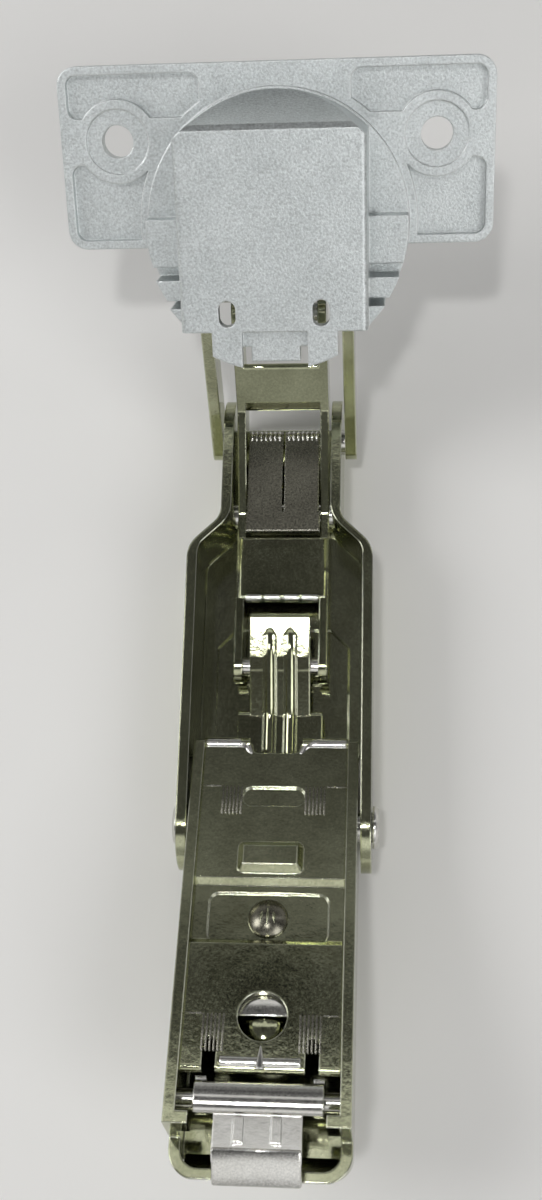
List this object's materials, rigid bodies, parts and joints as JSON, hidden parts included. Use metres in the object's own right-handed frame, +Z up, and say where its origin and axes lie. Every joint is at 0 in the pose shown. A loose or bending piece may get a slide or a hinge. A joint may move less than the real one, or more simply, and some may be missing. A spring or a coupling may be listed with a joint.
{
  "type": "cabinet hinge",
  "caption": "Wide-angle clip-on cabinet hinge, open on its back: cast cup with a screw flange, multi-link knuckle, flared housing and an adjustable steel arm with a release lever.",
  "frame": {"origin": "on the surface that the hinge lies on, under the middle of its bounding box", "axes": "+X across the hinge, along its pins; +Y from the arm to the cup; +Z up, the side that both mounting faces look to"},
  "size_m": [0.057, 0.1376, 0.0432],
  "materials": {
    "cast_zinc": "matte die-cast zinc, fine grain",
    "plated_steel": "nickel plated pressed steel",
    "bright_steel": "bright plated pins and rivets",
    "spring_steel": "dark tempered spring steel"
  },
  "bodies": {
    "arm": {"arm_channel": "plated_steel", "adjusting_plate": "plated_steel", "arm_rivet_left": "bright_steel", "arm_rivet_right": "bright_steel", "tail_pin": "bright_steel", "latch_pin": "bright_steel", "latch_spring": "spring_steel"},
    "cam": {"depth_cam": "bright_steel"},
    "screw": {"side_screw": "bright_steel"},
    "lever": {"release_lever": "plated_steel"},
    "housing": {"housing_link": "plated_steel", "knee_pin": "bright_steel", "knuckle_rivet_left": "bright_steel", "knuckle_rivet_right": "bright_steel"},
    "inner": {"inner_link": "plated_steel", "tongue_pin": "bright_steel", "closing_spring": "spring_steel"},
    "cup": {"hinge_cup": "cast_zinc", "cup_nose_pin": "bright_steel", "cup_deep_pin": "bright_steel"},
    "outer": {"outer_link_left": "plated_steel", "outer_link_right": "plated_steel"},
    "tongue": {"arm_tongue": "plated_steel"}
  },
  "joints": [
    {"name": "arm_pivot", "type": "hinge", "parent": "arm", "child": "housing", "pos_m": [0, -0.02613, 0.0065], "axis": [1, 0, 0], "range_deg": [-80.66, 4.68]},
    {"name": "knee_pivot", "type": "hinge", "parent": "housing", "child": "inner", "pos_m": [0, 0.01797, 0.004], "axis": [1, 0, 0], "range_deg": [-17.07, 1.01]},
    {"name": "cup_pivot", "type": "hinge", "parent": "inner", "child": "cup", "pos_m": [0, 0.04164, 0.02057], "axis": [1, 0, 0], "range_deg": [-48.8, 2.85]},
    {"name": "tongue_pivot", "type": "hinge", "parent": "inner", "child": "tongue", "pos_m": [0, -0.00403, 0.0044], "axis": [1, 0, 0], "range_deg": [-2.73, 46.75]},
    {"name": "knuckle_pivot", "type": "hinge", "parent": "housing", "child": "outer", "pos_m": [0, 0.02837, 0.0059], "axis": [1, 0, 0], "range_deg": [-34.18, 2]},
    {"name": "release_press", "type": "hinge", "parent": "arm", "child": "lever", "pos_m": [0, -0.0597, 0.01938], "axis": [1, 0, 0], "range_deg": [0, 10], "stiffness_Nm_per_rad": 0.05, "springref_deg": -9.74},
    {"name": "depth_cam_turn", "type": "hinge", "parent": "arm", "child": "cam", "pos_m": [0, -0.04003, 0.01096], "axis": [0, 0.3057, 0.9521], "continuous": true},
    {"name": "side_screw_turn", "type": "hinge", "parent": "arm", "child": "screw", "pos_m": [0, -0.05193, 0.01478], "axis": [0, 0.3057, 0.9521], "continuous": true}
  ],
  "couplings": [
    {"joint": "knee_pivot", "follows": "arm_pivot", "ratio": 0.21141},
    {"joint": "cup_pivot", "follows": "arm_pivot", "ratio": 0.60479},
    {"joint": "tongue_pivot", "follows": "arm_pivot", "ratio": -0.57937},
    {"joint": "knuckle_pivot", "follows": "arm_pivot", "ratio": 0.42354}
  ]
}
